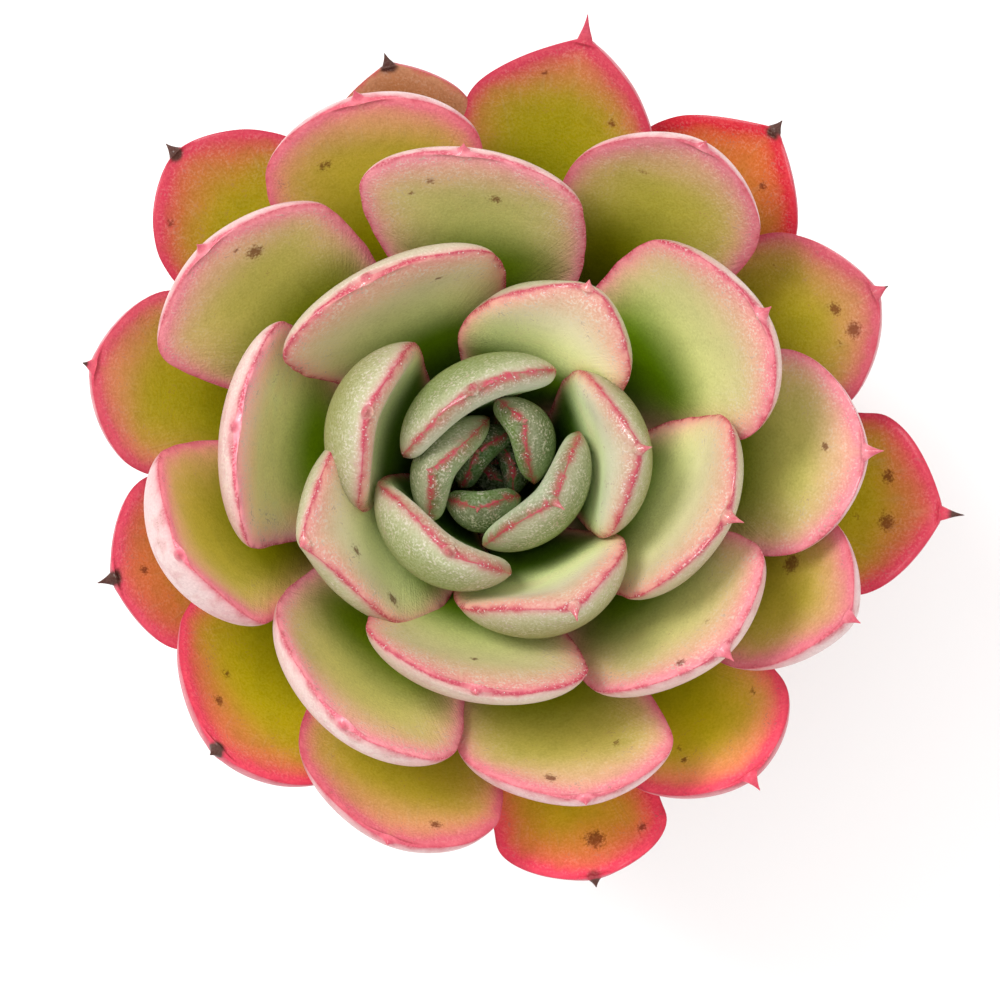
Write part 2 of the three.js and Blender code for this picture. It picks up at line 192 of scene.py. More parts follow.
# How many radii out a brown mark has faded, and the marks on each leaf's face: the share of its length, the
# share of its half width and the radius (mm)
SCAR_FADES = 2.2
SCARS = {
    9: [(0.78, 0.2, 0.47), (0.71, 0.73, 0.59)],
    11: [(0.85, -0.48, 0.26)],
    12: [(0.81, 0.0, 0.34)],
    13: [(0.77, -0.38, 0.26)],
    15: [(0.87, 0.17, 0.26), (0.94, -0.5, 0.42)],
    16: [(0.89, 0.37, 0.38), (0.83, -0.2, 0.51), (0.84, 0.53, 0.26)],
    18: [(0.88, 0.08, 0.42)],
    19: [(0.88, -0.27, 0.77), (0.93, -0.22, 0.21)],
    20: [(0.81, 0.48, 0.3), (0.92, -0.31, 0.51)],
    21: [(0.85, 0.38, 0.3)],
    23: [(0.73, 0.37, 0.85)],
    24: [(0.83, 0.45, 0.51)],
    25: [(0.91, 0.49, 0.51)],
    26: [(0.88, 0.0, 0.59), (0.91, -0.37, 0.77), (0.86, -0.38, 0.26), (0.78, 0.63, 0.26)],
    28: [(0.8, 0.65, 0.3), (0.84, -0.4, 0.38), (0.8, -0.35, 0.26)],
    29: [(0.82, -0.53, 0.42), (0.9, 0.41, 0.26)],
    30: [(0.81, -0.37, 0.38), (0.89, -0.3, 0.51)],
    31: [(0.86, 0.35, 0.59), (0.87, -0.18, 0.77), (0.79, -0.13, 0.26)],
    32: [(0.89, 0.69, 0.34)],
    33: [(0.9, 0.13, 0.85), (0.9, 0.71, 0.42)],
    34: [(0.88, -0.37, 0.42)],
    35: [(0.91, 0.0, 0.42)],
}
# How fine the clouds and the mottles in a leaf's colour are
CLOUDS_PER_MM = 0.12
MOTTLES_PER_MM = 0.7

# Colours of the leaves by order: the face's upper half, its foot down among the other leaves, the flush
# inside the margin, the margin itself, the back's upper half and the back's foot. The near-black greens at the
# heart are painted shade. The dark greens of the feet are partly the leaves' own deep green and partly
# painted shade, where the gaps between the leaves lie in shadow.
FACE_COLORS = {
    -5: "#243a10", 0: "#84a859", 3: "#eaf4d6", 7: "#f6eec4", 11: "#f4eab0", 16: "#ecea88",
    21: "#e6dc50", 25: "#e2d02c", 28: "#d0c408", 33: "#cfbc00", 38: "#a08a0c",
}
DEEP_COLORS = {
    -5: "#0c1803", 0: "#35501a", 4: "#5f8a2c", 8: "#668a12", 13: "#749c04", 17: "#708800",
    20: "#a0a600", 25: "#b4a800", 28: "#acaa00", 33: "#bcb400", 38: "#827406",
}
FLUSH_COLORS = {
    -2: "#476731", 2: "#84704a", 6: "#e8a88e", 10: "#ffcfab", 14: "#ffc4a4", 20: "#ffd09e",
    25: "#ffb878", 30: "#ee884e", 34: "#e88038", 35: "#fb8a49", 36: "#e8784c",
}
MARGIN_COLORS = {
    -2: "#5e7439", 2: "#987d55", 6: "#e07488", 10: "#f07a86", 16: "#ff9ea8", 23: "#fb8a97",
    28: "#e94c62", 33: "#f2465f", 34: "#e0293a", 35: "#fa5870", 36: "#f25a6e",
}
BACK_COLORS = {
    -5: "#0c1404", 0: "#4c6b16", 3: "#8ea452", 6: "#a6aa5c", 9: "#c0c486", 12: "#f2dcc8",
    14: "#ffe2d6", 20: "#ffdcd8", 24: "#ffe2e0", 28: "#f4a4ac", 34: "#f090a0", 38: "#b87868",
}
LOWER_BACK_COLORS = {
    -5: "#060a02", 4: "#3f7a36", 10: "#b8cc60", 20: "#94b424", 38: "#9a8a3c",
}


def smooth(x, low, high):
    """0 below low and 1 above high, with a smooth step between."""
    t = np.clip((np.asarray(x, float) - low) / (high - low), 0, 1)
    return t * t * (3 - 2 * t)


def base_height(order):
    """How high above the soil a leaf leaves the stem."""
    return LOWEST_LEAF + LEAF_RISE * (OLDEST - order)


def base_radius(order):
    """The stem's radius where a leaf leaves it."""
    return CROWN_RADIUS + STEM_SWELL * (1 - math.exp(-(order - YOUNGEST) / SWELL_LEAVES))


class Leaf:
    """The measures of one leaf, from its row and from the rules of growth, and the surface that they give."""

    blade_rings = 76
    point_rings = 10
    around = 88
    midrib_steps = 160

    def __init__(self, order):
        self.order = order
        row = LEAVES[order - YOUNGEST]
        self.turn, self.rise, self.curl, self.length, self.width, self.lean, self.roll = row[:7]
        self.widest, self.end_power, self.point, self.bend = row[7:]
        # The swelling of its face, its thickness and its base's width, and how deep it is cupped
        self.cushion = 0.5 + 2 * (1 - float(smooth(order, 0, 14)))
        swelling = 3.5 * (1 - math.exp(-max(0, order + 3) / 4))
        self.body = 2.6 + swelling - 0.07 * max(0, order - 16) - 0.35 * self.cushion
        self.base_width = 0.23 + 0.16 * math.exp(-(order + 3) / 6)
        self.dish = 0.14 + 0.08 * math.exp(-(order + 3) / 8)
        self.backward = TIP_BENDS_BACK * (1 - 0.6 * float(smooth(order, 10, 20)))

    def midrib(self):
        """Share of the length, distance out, height and slope along the midrib."""
        s = np.linspace(0, 1, self.midrib_steps + 1)
        back = np.clip((s - TIP_START) / (1 - TIP_START), 0, 1) ** 1.5
        slope = np.radians(self.rise + self.curl * s**CURL_POWER - self.backward * back)
        middle = (slope[1:] + slope[:-1]) / 2
        step = self.length / self.midrib_steps
        out = base_radius(self.order) + step * np.concatenate([[0], np.cumsum(np.cos(middle))])
        up = base_height(self.order) + step * np.concatenate([[0], np.cumsum(np.sin(middle))])
        return s, out, up, slope

    def half_width(self, s):
        """Half the blade's width at each share of its length, flaring into the point at its tip."""
        rising = self.base_width + (1 - self.base_width) * np.sin(
            np.pi / 2 * np.clip(s / self.widest, 0, 1)
        ) ** 1.6
        past = np.clip((s - self.widest) / (1 - self.widest), 0, 1)
        share = np.where(s < self.widest, rising, (1 - past**2.2) ** self.end_power)
        flare = POINT_WIDTH * self.width * np.exp(-(1 - s) / (0.02 + 0.02 * self.point))
        return self.width / 2 * share + flare

    def rings(self):
        """The stations along the blade and then the point: shares of the leaf's and of the point's length."""
        u = np.linspace(0, 1, self.blade_rings)
        blade = BLADE_END * (1 - (1 - u) ** 2)
        t = np.linspace(0, 1, self.point_rings + 1)[1:] ** 0.8
        s = np.concatenate([blade, np.full(len(t), BLADE_END)])
        return s, np.concatenate([np.zeros(len(blade)), t])

    def edge_distance(self, S, half):
        """Each point's distance in millimetres from the flat leaf's outline, as a (rings, around) array."""
        quarter = self.around // 4
        across = np.cos(2 * np.pi * np.arange(quarter + 1) / self.around)
        x = S * self.length * np.ones_like(across)
        points = np.stack([x, half * across], -1).reshape(-1, 2)
        s = 1 - (1 - np.linspace(0, 1, 120)) ** 2
        outline = np.stack([s * self.length, self.half_width(s)], -1)
        nearest = np.full(len(points), np.inf)
        for a, b in zip(outline[:-1], outline[1:]):
            ab = b - a
            t = np.clip(((points - a) @ ab) / max(ab @ ab, 1e-9), 0, 1)
            nearest = np.minimum(nearest, np.linalg.norm(points - a - t[:, None] * ab, axis=1))
        column = np.arange(self.around)
        column = np.minimum(column, self.around - column)
        column = np.minimum(column, self.around // 2 - column)
        return nearest.reshape(len(S), -1)[:, column]

    def surface(self):
        """Points as a (rings, around, 3) array in the leaf's frame, and where on the leaf each one lies."""
        s, t = self.rings()
        turn = 2 * np.pi * np.arange(self.around) / self.around
        S, T = s[:, None], t[:, None]
        across = np.cos(turn)[None, :]
        face = (np.sin(turn)[None, :] > 1e-6) * np.ones_like(S)
        half = self.half_width(S)
        edge = np.where(T > 0, 0, self.edge_distance(S, half))
        point_radius = POINT_WIDTH * self.width * (1 - T) ** 1.5 + 0.06 * (T < 1)
        half = np.where(T > 0, point_radius, half) * self.margin_wave(S, across)
        y = half * across
        filled = 0.3 + 0.7 * np.sin(np.pi / 2 * np.clip(S / 0.7, 0, 1)) ** 2.2
        thinned = np.maximum(0.22, np.sqrt(1 - np.clip((S - 0.7) / 0.3, 0, 1) ** 2))
        blunt = 0.35 + 1.7 * np.sqrt((1 - S) * self.length)
        depth = np.minimum(self.body * filled * thinned, np.minimum(1.5 * half, blunt))
        dish = self.dish * half * np.clip(S / 0.5, 0, 1)
        cushion = self.cushion * smooth(S, 0.35, 0.8)
        upper = dish * (1.5 * across**2 - 0.5 * across**4)
        upper = upper + cushion * (1 - np.exp(-edge / 1.2)) * np.exp(-edge / 7)
        lower = dish - (dish + depth) * (1 - across**2) ** BELLY_POWER
        off = np.where(face > 0, upper, lower)
        off = np.where(np.abs(across) > 1 - 1e-9, dish, off)
        over_surface = np.where(T > 0, 0, np.hypot(edge, off - dish))
        round_off = np.minimum(0.8 * half, 1.2 * POINT_WIDTH * self.width) * np.sin(turn)[None, :]
        to_point = smooth((S - 1) * self.length + T * 3, -0.7, 0.5)
        off = off * (1 - to_point) + round_off * to_point
        roll = math.radians(self.roll) * smooth(S, 0, 0.7)
        side = y * np.cos(roll) - off * np.sin(roll)
        raised = y * np.sin(roll) + off * np.cos(roll)
        out, up, slope = self.station(S, T)
        sideways = side + self.lean * S**1.5
        points = np.stack([out - np.sin(slope) * raised, sideways, up + np.cos(slope) * raised], -1)
        facts = {
            "along": S * np.ones_like(y),
            "across": across * np.ones_like(y),
            "edge": over_surface,
            "tip": np.hypot(np.hypot((1 - S) * self.length, y), off - dish) * (T == 0),
            "face": np.where(np.abs(across) > 1 - 1e-9, 0.5, face),
            "point": T * np.ones_like(y),
            "angle": np.arctan2(y, (S - 0.4) * self.length * np.ones_like(y)),
        }
        return points, facts

    def station(self, S, T):
        """Where a ring stands and how steep it is, on the blade or beyond it on the point."""
        s, out, up, slope = self.midrib()
        here = [np.interp(S[:, 0], s, values)[:, None] for values in (out, up, slope)]
        place = np.array([out[-1], up[-1]])
        last = 0.0
        for i in np.flatnonzero(T[:, 0] > 0):
            heading = slope[-1] - math.radians(self.bend) * T[i, 0]
            place = place + (T[i, 0] - last) * self.point * np.array([math.cos(heading), math.sin(heading)])
            last = T[i, 0]
            here[0][i, 0], here[1][i, 0], here[2][i, 0] = place[0], place[1], heading
        return here

    def margin_wave(self, S, across):
        """A slight unevenness of the leaf's outline, different on its two sides."""
        wave = np.ones((len(S), across.shape[1]))
        for side in (-1, 1):
            lump = [noise.noise(Vector((s * 5, side * 3.1, self.order * 1.7))) for s in S[:, 0]]
            fine = [noise.noise(Vector((s * 16, side * 7.3, self.order * 2.9))) for s in S[:, 0]]
            by_ring = MARGIN_WAVE * np.array(lump) + MARGIN_RIPPLE * np.array(fine)
            wave += np.where(np.sign(across) == side, 1, 0) * by_ring[:, None] * np.abs(across) ** 2
        return wave


def in_plant(points, turn):
    """Moves points from a leaf's own frame, turned this way, to the part's, in millimetres."""
    c, s = math.cos(math.radians(turn)), math.sin(math.radians(turn))
    x, y, z = points[..., 0], points[..., 1], points[..., 2]
    return np.stack([x * c - y * s + PLANT_X, x * s + y * c + PLANT_Y, z + SOIL_LEVEL], -1)


def ring_faces(rings, around, closed=False):
    """Quads between rings of points. Closed, the last ring joins the first; open, two points cap the ends."""
    faces = []
    for ring in range(rings if closed else rings - 1):
        low, high = ring * around, (ring + 1) % rings * around
        for i in range(around):
            j = (i + 1) % around
            faces.append((low + i, low + j, high + j, high + i))
    if closed:
        return faces
    start, last = rings * around, (rings - 1) * around
    for i in range(around):
        j = (i + 1) % around
        faces.append((start, j, i))
        faces.append((start + 1, last + i, last + j))
    return faces


def make_object(name, points_mm, faces, values=None):
    """A smooth mesh object at the origin, from points in millimetres, with an attribute for each value."""
    mesh = bpy.data.meshes.new(name)
    mesh.from_pydata((np.asarray(points_mm) * MM).tolist(), [], faces)
    mesh.polygons.foreach_set("use_smooth", [True] * len(mesh.polygons))
    for key, data in (values or {}).items():
        data = np.asarray(data, np.float32)
        kind = "FLOAT_VECTOR" if data.ndim == 2 else "FLOAT"
        attribute = mesh.attributes.new(key, kind, "POINT")
        attribute.data.foreach_set("vector" if data.ndim == 2 else "value", data.ravel())
    mesh.update()
    made = bpy.data.objects.new(name, mesh)
    bpy.context.scene.collection.objects.link(made)
    return made


def flush_reach(order):
    """How far in from the margin the red fades, in millimetres."""
    if order in FLUSH_SPREAD:
        return FLUSH_SPREAD[order]
    return 1.0 + 3.4 * float(smooth(order, 2, 16))


def clouding(points, per_mm):
    """Soft noise from 0 to 1 at each point, with about this many patches to a millimetre."""
    spots = [Vector(spot) for spot in points * per_mm]
    lumps = [noise.noise(spot) + 0.55 * noise.noise(spot * 2.03) for spot in spots]
    return 0.5 + 0.5 * np.array(lumps) / 1.55


def table_color(colors, order):
    """The pigment that a colour table gives a leaf of this order."""
    channels = zip(*(pigment(text) for text in colors.values()))
    return np.array([np.interp(order, list(colors), channel) for channel in channels])


def blend(share, a, b):
    """The colours from a to b by each point's share."""
    share = np.clip(share, 0, 1)[:, None]
    return (1 - share) * np.asarray(a) + share * np.asarray(b)


def upper_skin(order, age, facts):
    """The face's colours: golden or sage green, deep green at its foot with painted shade there, flushed red
    from the margin in, and a painted glow.
    """
    along, edge = facts["along"], facts["edge"]
    foot = 0.43 + 0.15 * smooth(age, 0.3, 0.55)
    bright = table_color(FACE_COLORS, order)
    greener = 0.9 * smooth(along, 0.85, 0.6) * smooth(age, 0.55, 0.35)
    ground = blend(greener, bright, bright * (0.84, 1.02, 0.66))
    # Towards its foot the face turns deep green, partly its own colour and partly painted shade. Lowest down,
    # in the gap under the next leaves, it is painted dark green as painted shade.
    ground = blend(smooth(along, foot + 0.2, foot), ground, table_color(DEEP_COLORS, order))
    root = 0.85 * smooth(along, foot + 0.02, foot - 0.16) * smooth(age, 0.1, 0.2) * smooth(age, 0.75, 0.45)
    ground = blend(root, ground, pigment("#1c380a"))
    at_tip = np.exp(-((facts["tip"] / 13) ** 2))
    reach = flush_reach(order) * (0.75 + 0.5 * facts["cloud"]) * (0.5 + 0.85 * at_tip)
    patchy = 0.8 + 0.6 * (facts["mottle"] - 0.5) + 0.5 * facts["cloud"]
    warm = 1.1 * patchy * np.exp(-((edge / reach) ** 1.5))
    red = np.exp(-((2.3 * edge / np.minimum(reach, 5.0)) ** 1.7)) * (0.5 + 0.7 * smooth(age, 0.28, 0.5))
    flush_color, coral = table_color(FLUSH_COLORS, order), table_color(MARGIN_COLORS, order)
    end = smooth(along, 0.82, 0.99) * smooth(age, 0.15, 0.4)
    flushed = blend(0.3 * end, blend(0.5 * end, ground, flush_color), coral)
    flushed = blend(patchy * red, blend(warm, flushed, flush_color), coral)
    if order in FADED:
        brown = blend(np.exp(-edge / 3), pigment("#bf7638"), pigment("#c98c68"))
        flushed = blend(np.full(len(edge), FADED[order]), flushed, brown)
    # Painted light: the young faces are painted brighter low down, and the older faces near their margins, as
    # if lit through the flesh. The mottle and the clouds add tone that differs at random.
    painted_glow_and_mottle = smooth(age, 0.5, 0.28) * (0.08 + 0.75 * smooth(along, 0.97, 0.62))
    painted_glow_and_mottle = painted_glow_and_mottle + 0.2 * np.exp(-edge / 4) * smooth(age, 0.36, 0.48)
    painted_glow_and_mottle = painted_glow_and_mottle + 0.3 * (facts["mottle"] - 0.5) + 0.25 * (facts["cloud"] - 0.5)
    # Each face is then painted paler or darker, leaf by leaf, as painted light and shade.
    return np.minimum(flushed * (PAINTED_LIGHT_BY_LEAF.get(order, 1) * (1 + painted_glow_and_mottle))[:, None], 1)


def under_skin(order, age, facts):
    """The back's colours: green at its foot and in the heart, partly painted shade, powdered white and pink
    further out, with a painted sheen along the young keels.
    """
    along, edge = facts["along"], facts["edge"]
    upper, lower = table_color(BACK_COLORS, order), table_color(LOWER_BACK_COLORS, order)
    back = blend(smooth(along, 0.72, 0.4), upper, lower)
    blush = smooth(facts["cloud"], 0.42, 0.68) + smooth(facts["mottle"], 0.48, 0.7)
    back = blend(0.32 * blush * smooth(age, 0.3, 0.5), back, pigment("#ee9fa2"))
    # Painted sheen: the young backs are painted pale cream along their margins, where the light catches the
    # keel.
    keel_sheen = 0.75 * np.exp(-edge / 2.6) * smooth(age, 0.04, 0.16) * smooth(age, 0.42, 0.3)
    back = blend(keel_sheen, back, pigment("#fff6da"))
    rosy = (0.8 - 0.25 * smooth(age, 0.3, 0.4)) * np.exp(-((edge / 0.75) ** 1.4))
    return blend(rosy, back, table_color(MARGIN_COLORS, order))


def leaf_paint(leaf, facts, look):
    """What each point of a leaf looks like: its soft colour, and how much of each mark, gloss and relief."""
    order = leaf.order
    age = (order - YOUNGEST) / (OLDEST - YOUNGEST)
    along, edge, tip, point, mottle = (facts[key] for key in ("along", "edge", "tip", "point", "mottle"))
    skin = blend(facts["face"], under_skin(order, age, facts), upper_skin(order, age, facts))
    skin = blend(0.75 * smooth(point, 0, 0.5), np.minimum(skin, 0.92), look.point_color)
    dried = DRIED_POINTS.get(order, 0)
    dry = smooth(dried + point - 1, 0, 0.15) * smooth(dried, 0, 0.1)
    dry = np.maximum(dry, smooth(dried, 0.75, 1) * smooth(tip + 0.8 * mottle, 1.7, 1.0))
    skin = blend(dry, skin, look.dried_color)

    rim = np.exp(-edge / 0.7)
    powder = (0.03 + 0.12 * smooth(age, 0.5, 0.25)) * smooth(along, 0.5, 0.8)
    sugar = smooth(mottle, 0.36, 0.56) * smooth(edge, 0.25, 0.7) * smooth(edge, 8, 2.5)
    sugar = sugar * smooth(along, 0.6, 0.82) * (0.1 + 0.6 * smooth(age, 0.7, 0.4))
    vein = smooth(edge, 1, 2.5) * smooth(edge, 9, 4) * smooth(along, 0.6, 0.8)
    vein = vein * (0.06 + 0.14 * smooth(age, 0.6, 0.4))
    fleck = 0.4 * smooth(mottle, 0.6, 0.7) * smooth(along, 0.55, 0.8)
    width = look.margin_line / MM * (0.25 + 1.5 * smooth(mottle, 0.35, 0.65))
    living = (1 - dry) * (point == 0)
    line = living * np.exp(-((edge / width) ** 1.6)) * (0.62 + 0.33 * smooth(age, 0.6, 0.35))
    glint = 0.7 * living * smooth(mottle, 0.45, 0.62) * smooth(edge, 1.8, 0.5) * smooth(age, 0.6, 0.3)
    film = 0.22 * smooth(along, 0.55, 0.8) * smooth(age, 0.9, 0.4) + 0.25 * rim
    wet = 0.9 * smooth(edge, 2.8, 0.6) * smooth(age, 0.5, 0.32)
    grain = 0.35 + 0.5 * smooth(edge, 5.5, 1)
    comb = 0.75 * smooth(edge, 0.1, 0.8) * smooth(edge, 8, 2.5)
    return {
        "skin": skin,
        "powders": np.stack([powder, sugar, vein], -1),
        "marks": np.stack([fleck, line, glint], -1),
        "gloss": np.stack([0.46 + 0.16 * mottle - 0.1 * rim, film, wet], -1),
        "relief": np.stack([grain, comb, scar_depth(leaf, facts)], -1),
        "fibres": np.stack([facts["angle"] * 14, edge, np.full(len(edge), order * 7.3)], -1),
        "bead": smooth(edge, 2.4, 0.4) * smooth(along, 0.6, 0.85) * (facts["face"] > 0.4),
    }


def leaf_mesh(orders, name, look):
    """One object of the leaves of these orders, with what its skin is coloured by."""
    all_points, all_faces, columns, offset = [], [], {}, 0
    for order in orders:
        leaf = Leaf(order)
        points, facts = leaf.surface()
        flat = in_plant(points, leaf.turn).reshape(-1, 3)
        flat = np.vstack([flat, flat[: leaf.around].mean(0), flat[-leaf.around :].mean(0)])
        all_points.append(flat)
        all_faces += [tuple(i + offset for i in f) for f in ring_faces(points.shape[0], leaf.around)]
        offset += len(flat)
        facts = {key: np.concatenate([v.ravel(), [v[0].mean(), v[-1].mean()]]) for key, v in facts.items()}
        facts["cloud"] = clouding(flat, CLOUDS_PER_MM)
        facts["mottle"] = clouding(flat, MOTTLES_PER_MM)
        for key, value in leaf_paint(leaf, facts, look).items():
            columns.setdefault(key, []).append(value)
    values = {key: np.concatenate(parts) for key, parts in columns.items()}
    return make_object(name, np.vstack(all_points), all_faces, values)


def scar_depth(leaf, facts):
    """1 at the middle of each brown mark on this leaf's face, falling to 0 round it."""
    x = facts["along"] * leaf.length
    y = facts["across"] * leaf.half_width(facts["along"])
    depth = np.zeros(len(x))
    for along, across, radius in SCARS.get(leaf.order, ()):
        middle_y = across * float(leaf.half_width(np.array(along)))
        away = np.hypot(x - along * leaf.length, y - middle_y) / radius
        depth = np.maximum(depth, np.clip(1 - away / SCAR_FADES, 0, 1) * (facts["face"] > 0.4))
    return depth


def shade(color, strength):
    """A lighter or darker shade of a colour."""
    return tuple(min(1, strength * c) for c in color)


class Signal:
    """A shader socket that takes part in Python arithmetic, each step becoming a Math node."""

    def __init__(self, finish, socket):
        self.finish = finish
        self.socket = socket

    def math(self, operation, first, second):
        node = self.finish.node("ShaderNodeMath", {"operation": operation}, {0: first, 1: second})
        return Signal(self.finish, node.outputs[0])

    def __add__(self, other):
        return self.math("ADD", self, other)

    def __radd__(self, other):
        return self.math("ADD", other, self)

    def __sub__(self, other):
        return self.math("SUBTRACT", self, other)

    def __rsub__(self, other):
        return self.math("SUBTRACT", other, self)

    def __mul__(self, other):
        return self.math("MULTIPLY", self, other)

    def __rmul__(self, other):
        return self.math("MULTIPLY", other, self)

    def at_least(self, other):
        return self.math("MAXIMUM", self, other)

    def step(self, low, high):
        """0 below low, 1 above high, smooth between; low may be the higher one for a falling step."""
        settings = {"interpolation_type": "SMOOTHSTEP"}
        inputs = {"Value": self, "From Min": low, "From Max": high}
        node = self.finish.node("ShaderNodeMapRange", settings, inputs)
        return Signal(self.finish, node.outputs["Result"])


class Nodes:
    """A node tree that is built node by node."""

    def node(self, kind, settings=None, inputs=None):
        """A node of this type, with its settings made first and then the values or links of its sockets."""
        made = self.tree.nodes.new(kind)
        for key, value in (settings or {}).items():
            setattr(made, key, value)
        for key, value in (inputs or {}).items():
            self.feed(made.inputs[key], value)
        return made

    def feed(self, socket, value):
        """Links a socket to another one or gives it a value."""
        if isinstance(value, Signal):
            value = value.socket
        if isinstance(value, bpy.types.NodeSocket):
            self.tree.links.new(value, socket)
            return
        if socket.type == "RGBA" and not isinstance(value, (int, float)):
            value = (*value[:3], 1)
        socket.default_value = value

    def vectors(self, operation, first, second):
        settings = {"operation": operation}
        return self.node("ShaderNodeVectorMath", settings, {0: first, 1: second}).outputs[0]


class Finish(Nodes):
    """A procedural material."""

    def __init__(self, name):
        self.material = bpy.data.materials.new(name)
        self.material.use_nodes = True
        self.tree = self.material.node_tree
        self.tree.nodes.clear()
        self.shader = self.node("ShaderNodeBsdfPrincipled")
        output = self.node("ShaderNodeOutputMaterial")
        self.tree.links.new(self.shader.outputs["BSDF"], output.inputs["Surface"])

    def attribute(self, name):
        """The outputs of a mesh attribute: Fac for a number, Vector for three."""
        settings = {"attribute_type": "GEOMETRY", "attribute_name": name}
        return self.node("ShaderNodeAttribute", settings).outputs

    def parts(self, vector):
        """A vector's three numbers."""
        node = self.node("ShaderNodeSeparateXYZ", {}, {0: vector})
        return [Signal(self, socket) for socket in node.outputs]

    def place(self):
        """Object coordinates, in millimetres."""
        return self.vectors("MULTIPLY", self.node("ShaderNodeTexCoord").outputs["Object"], (1000,) * 3)

    def height(self):
        """Height above the pot's foot, in millimetres."""
        return self.parts(self.place())[2]

    def noise(self, vector, per_mm, detail=2.0, roughness=0.5):
        inputs = {"Vector": vector, "Scale": per_mm, "Detail": detail, "Roughness": roughness}
        node = self.node("ShaderNodeTexNoise", {"noise_dimensions": "3D"}, inputs)
        return Signal(self, node.outputs["Fac"])

    def cells(self, vector, per_mm):
        """How far each place is from the middle of the random cell that it lies in."""
        node = self.node("ShaderNodeTexVoronoi", {"feature": "F1"}, {"Vector": vector, "Scale": per_mm})
        return Signal(self, node.outputs["Distance"])

    def mix(self, factor, a, b):
        settings = {"data_type": "RGBA", "blend_type": "MIX", "clamp_factor": True}
        return self.node("ShaderNodeMix", settings, {0: factor, 6: a, 7: b}).outputs[2]

    def bump(self, height, distance_mm, strength=1.0, under=None):
        inputs = {"Height": height, "Distance": distance_mm * MM, "Strength": strength}
        if under is not None:
            inputs["Normal"] = under
        return self.node("ShaderNodeBump", {}, inputs).outputs["Normal"]

    def set(self, **sockets):
        for key, value in sockets.items():
            self.feed(self.shader.inputs[key.replace("_", " ")], value)


def tint(text):
    """A linear colour from its usual six-digit form."""
    channels = [int(text[i : i + 2], 16) / 255 for i in (1, 3, 5)]
    return tuple(c / 12.92 if c <= 0.04045 else ((c + 0.055) / 1.055) ** 2.4 for c in channels)


def pigment(text):
    """The colour of a surface that looks like this six-digit colour under the studio's bright lights."""
    return tuple(c / STUDIO_LEVEL for c in tint(text))


def leaf_skin(look):
    """Fleshy leaf skin: the leaf's soft colours with their painted light and shade, under powder, veins,
    flecks, margin lines, painted glints and scars.
    """
    f = Finish("leaf_skin")
    powder, sugar, vein = f.parts(f.attribute("powders")["Vector"])
    fleck, line, glint = f.parts(f.attribute("marks")["Vector"])
    rough, film, wet = f.parts(f.attribute("gloss")["Vector"])
    grain, comb, scar = f.parts(f.attribute("relief")["Vector"])
    stipple = f.noise(f.place(), 3.4, 1.0, 0.65)
    fibres = f.vectors("MULTIPLY", f.attribute("fibres")["Vector"], (3.4, 0.3, 1))
    streak = f.noise(fibres, 1.0, 1.0, 0.65)
    rough_side = stipple.step(0.5, 0.66)
    skin = {0: f.attribute("skin")["Vector"], 3: 0.8 + 0.4 * stipple}
    color = f.node("ShaderNodeVectorMath", {"operation": "SCALE"}, skin).outputs[0]
    color = f.mix(stipple.step(0.3, 0.65) * powder, color, look.powder_color)
    color = f.mix(rough_side * sugar, color, pigment("#fbf0dc"))
    color = f.mix(streak.step(0.56, 0.72) * vein, color, pigment("#fbf2cc"))
    color = f.mix(rough_side * fleck, color, pigment("#9a5a44"))
    color = f.mix((0.35 + 0.65 * stipple.step(0.3, 0.6)) * line, color, look.margin_color)
    color = f.mix(stipple.step(0.4, 0.28) * glint, color, pigment("#fff4ee"))
    color = f.mix((scar * 1.9 - stipple * 1.8).step(-0.5, 0.5) * 0.75, color, look.scar_color)
    normal = f.bump(stipple * grain + streak * comb, 0.12, 0.75)
    f.set(Base_Color=color, Roughness=rough, Normal=normal, Specular_IOR_Level=0.07)
    f.set(Coat_Weight=rough_side * wet + film, Coat_Roughness=0.16)
    return f.material


def bead_skin():
    """Clear, wet papillae along the youngest margins."""
    f = Finish("leaf_bead")
    f.set(Base_Color=f.mix(f.noise(f.place(), 0.8, 2.0), pigment("#f0c0b8"), pigment("#f4ead8")))
    f.set(Roughness=0.12, Specular_IOR_Level=0.7)
    return f.material


def terracotta(look):
    """Fired clay: orange brown, with turning lines, dark pores and a chalky bloom where water has dried."""
    f = Finish("terracotta")
    place = f.place()
    height = f.height()
    cloud = f.noise(place, 0.035, 4.0, 0.6)
    mottle = f.noise(place, 0.3, 4.0, 0.65)
    fine = f.noise(place, 2.2, 3.0, 0.7)
    turning = f.noise(f.vectors("MULTIPLY", place, (0.02, 0.02, 1.6)), 1.0, 3.0, 0.6)
    pores = f.cells(place, 0.9).step(0.2, 0.06) * mottle.step(0.42, 0.6)
    color = f.mix(mottle, look.clay_color, shade(look.clay_color, 0.72))
    color = f.mix(cloud.step(0.4, 0.7) * 0.35, color, shade(look.clay_color, 1.3))
    color = f.mix(turning.step(0.5, 0.75) * 0.2, color, tint("#7d3f22"))
    foot_bloom = height.step(26.0, 0.0) * 0.5
    band_bloom = height.step(46.0, 51.0) * height.step(62.5, 56.0) * 0.32
    drift = f.noise(f.vectors("MULTIPLY", place, (0.05, 0.05, 0.09)), 1.0, 5.0, 0.65)
    spotty = 2.2 * (drift - 0.5) + 0.5 * (fine - 0.5) + 0.4 * (mottle - 0.5)
    bloom = (foot_bloom.at_least(band_bloom) + spotty).step(0.1, 0.8)
    color = f.mix(bloom * 0.55, color, look.bloom_color)
    color = f.mix(pores * 0.7, color, tint("#4d2a19"))
    damp = height.step(52.0, 60.0) * cloud.step(0.45, 0.6) * 0.25
    color = f.mix(damp, color, tint("#6d3a24"))
    normal = f.bump(turning, 0.35, 0.7)
    normal = f.bump(fine, 0.12, 0.7, normal)
    normal = f.bump(1 - pores, 0.3, 0.8, normal)
    f.set(Base_Color=color, Roughness=0.82 + 0.14 * bloom, Normal=normal, Specular_IOR_Level=0.3)
    return f.material


